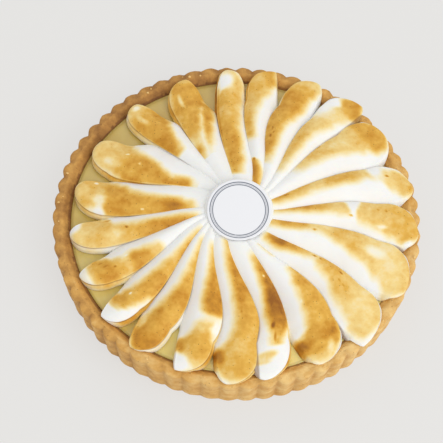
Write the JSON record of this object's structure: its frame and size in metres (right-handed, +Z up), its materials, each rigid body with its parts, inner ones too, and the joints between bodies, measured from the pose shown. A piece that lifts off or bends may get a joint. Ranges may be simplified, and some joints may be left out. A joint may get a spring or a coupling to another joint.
{
  "type": "lemon meringue pie",
  "caption": "Whole lemon pie: a fluted shortcrust case filled with lemon curd, under a wheel of piped, toasted meringue strokes with a round plaque on top.",
  "frame": {"origin": "middle of the crust's underside, where the pie rests on its plate or table", "axes": "+Z up through the middle of the plaque; -Y is the side nearest the viewer in the picture"},
  "size_m": [0.2298, 0.23, 0.0446],
  "materials": {
    "crust": "baked shortcrust, matte and finely crumbed, golden to brown",
    "lemon_curd": "set lemon curd, smooth and softly glossy, pale yellow",
    "meringue": "soft meringue, satin white in the valleys and torched gold to brown on the crests",
    "plaque": "pressed white sugar, satin, with a thin double ring near its edge"
  },
  "bodies": {
    "root": {"crust": "crust", "lemon_curd": "lemon_curd", "meringue": "meringue", "plaque": "plaque"}
  },
  "joints": []
}
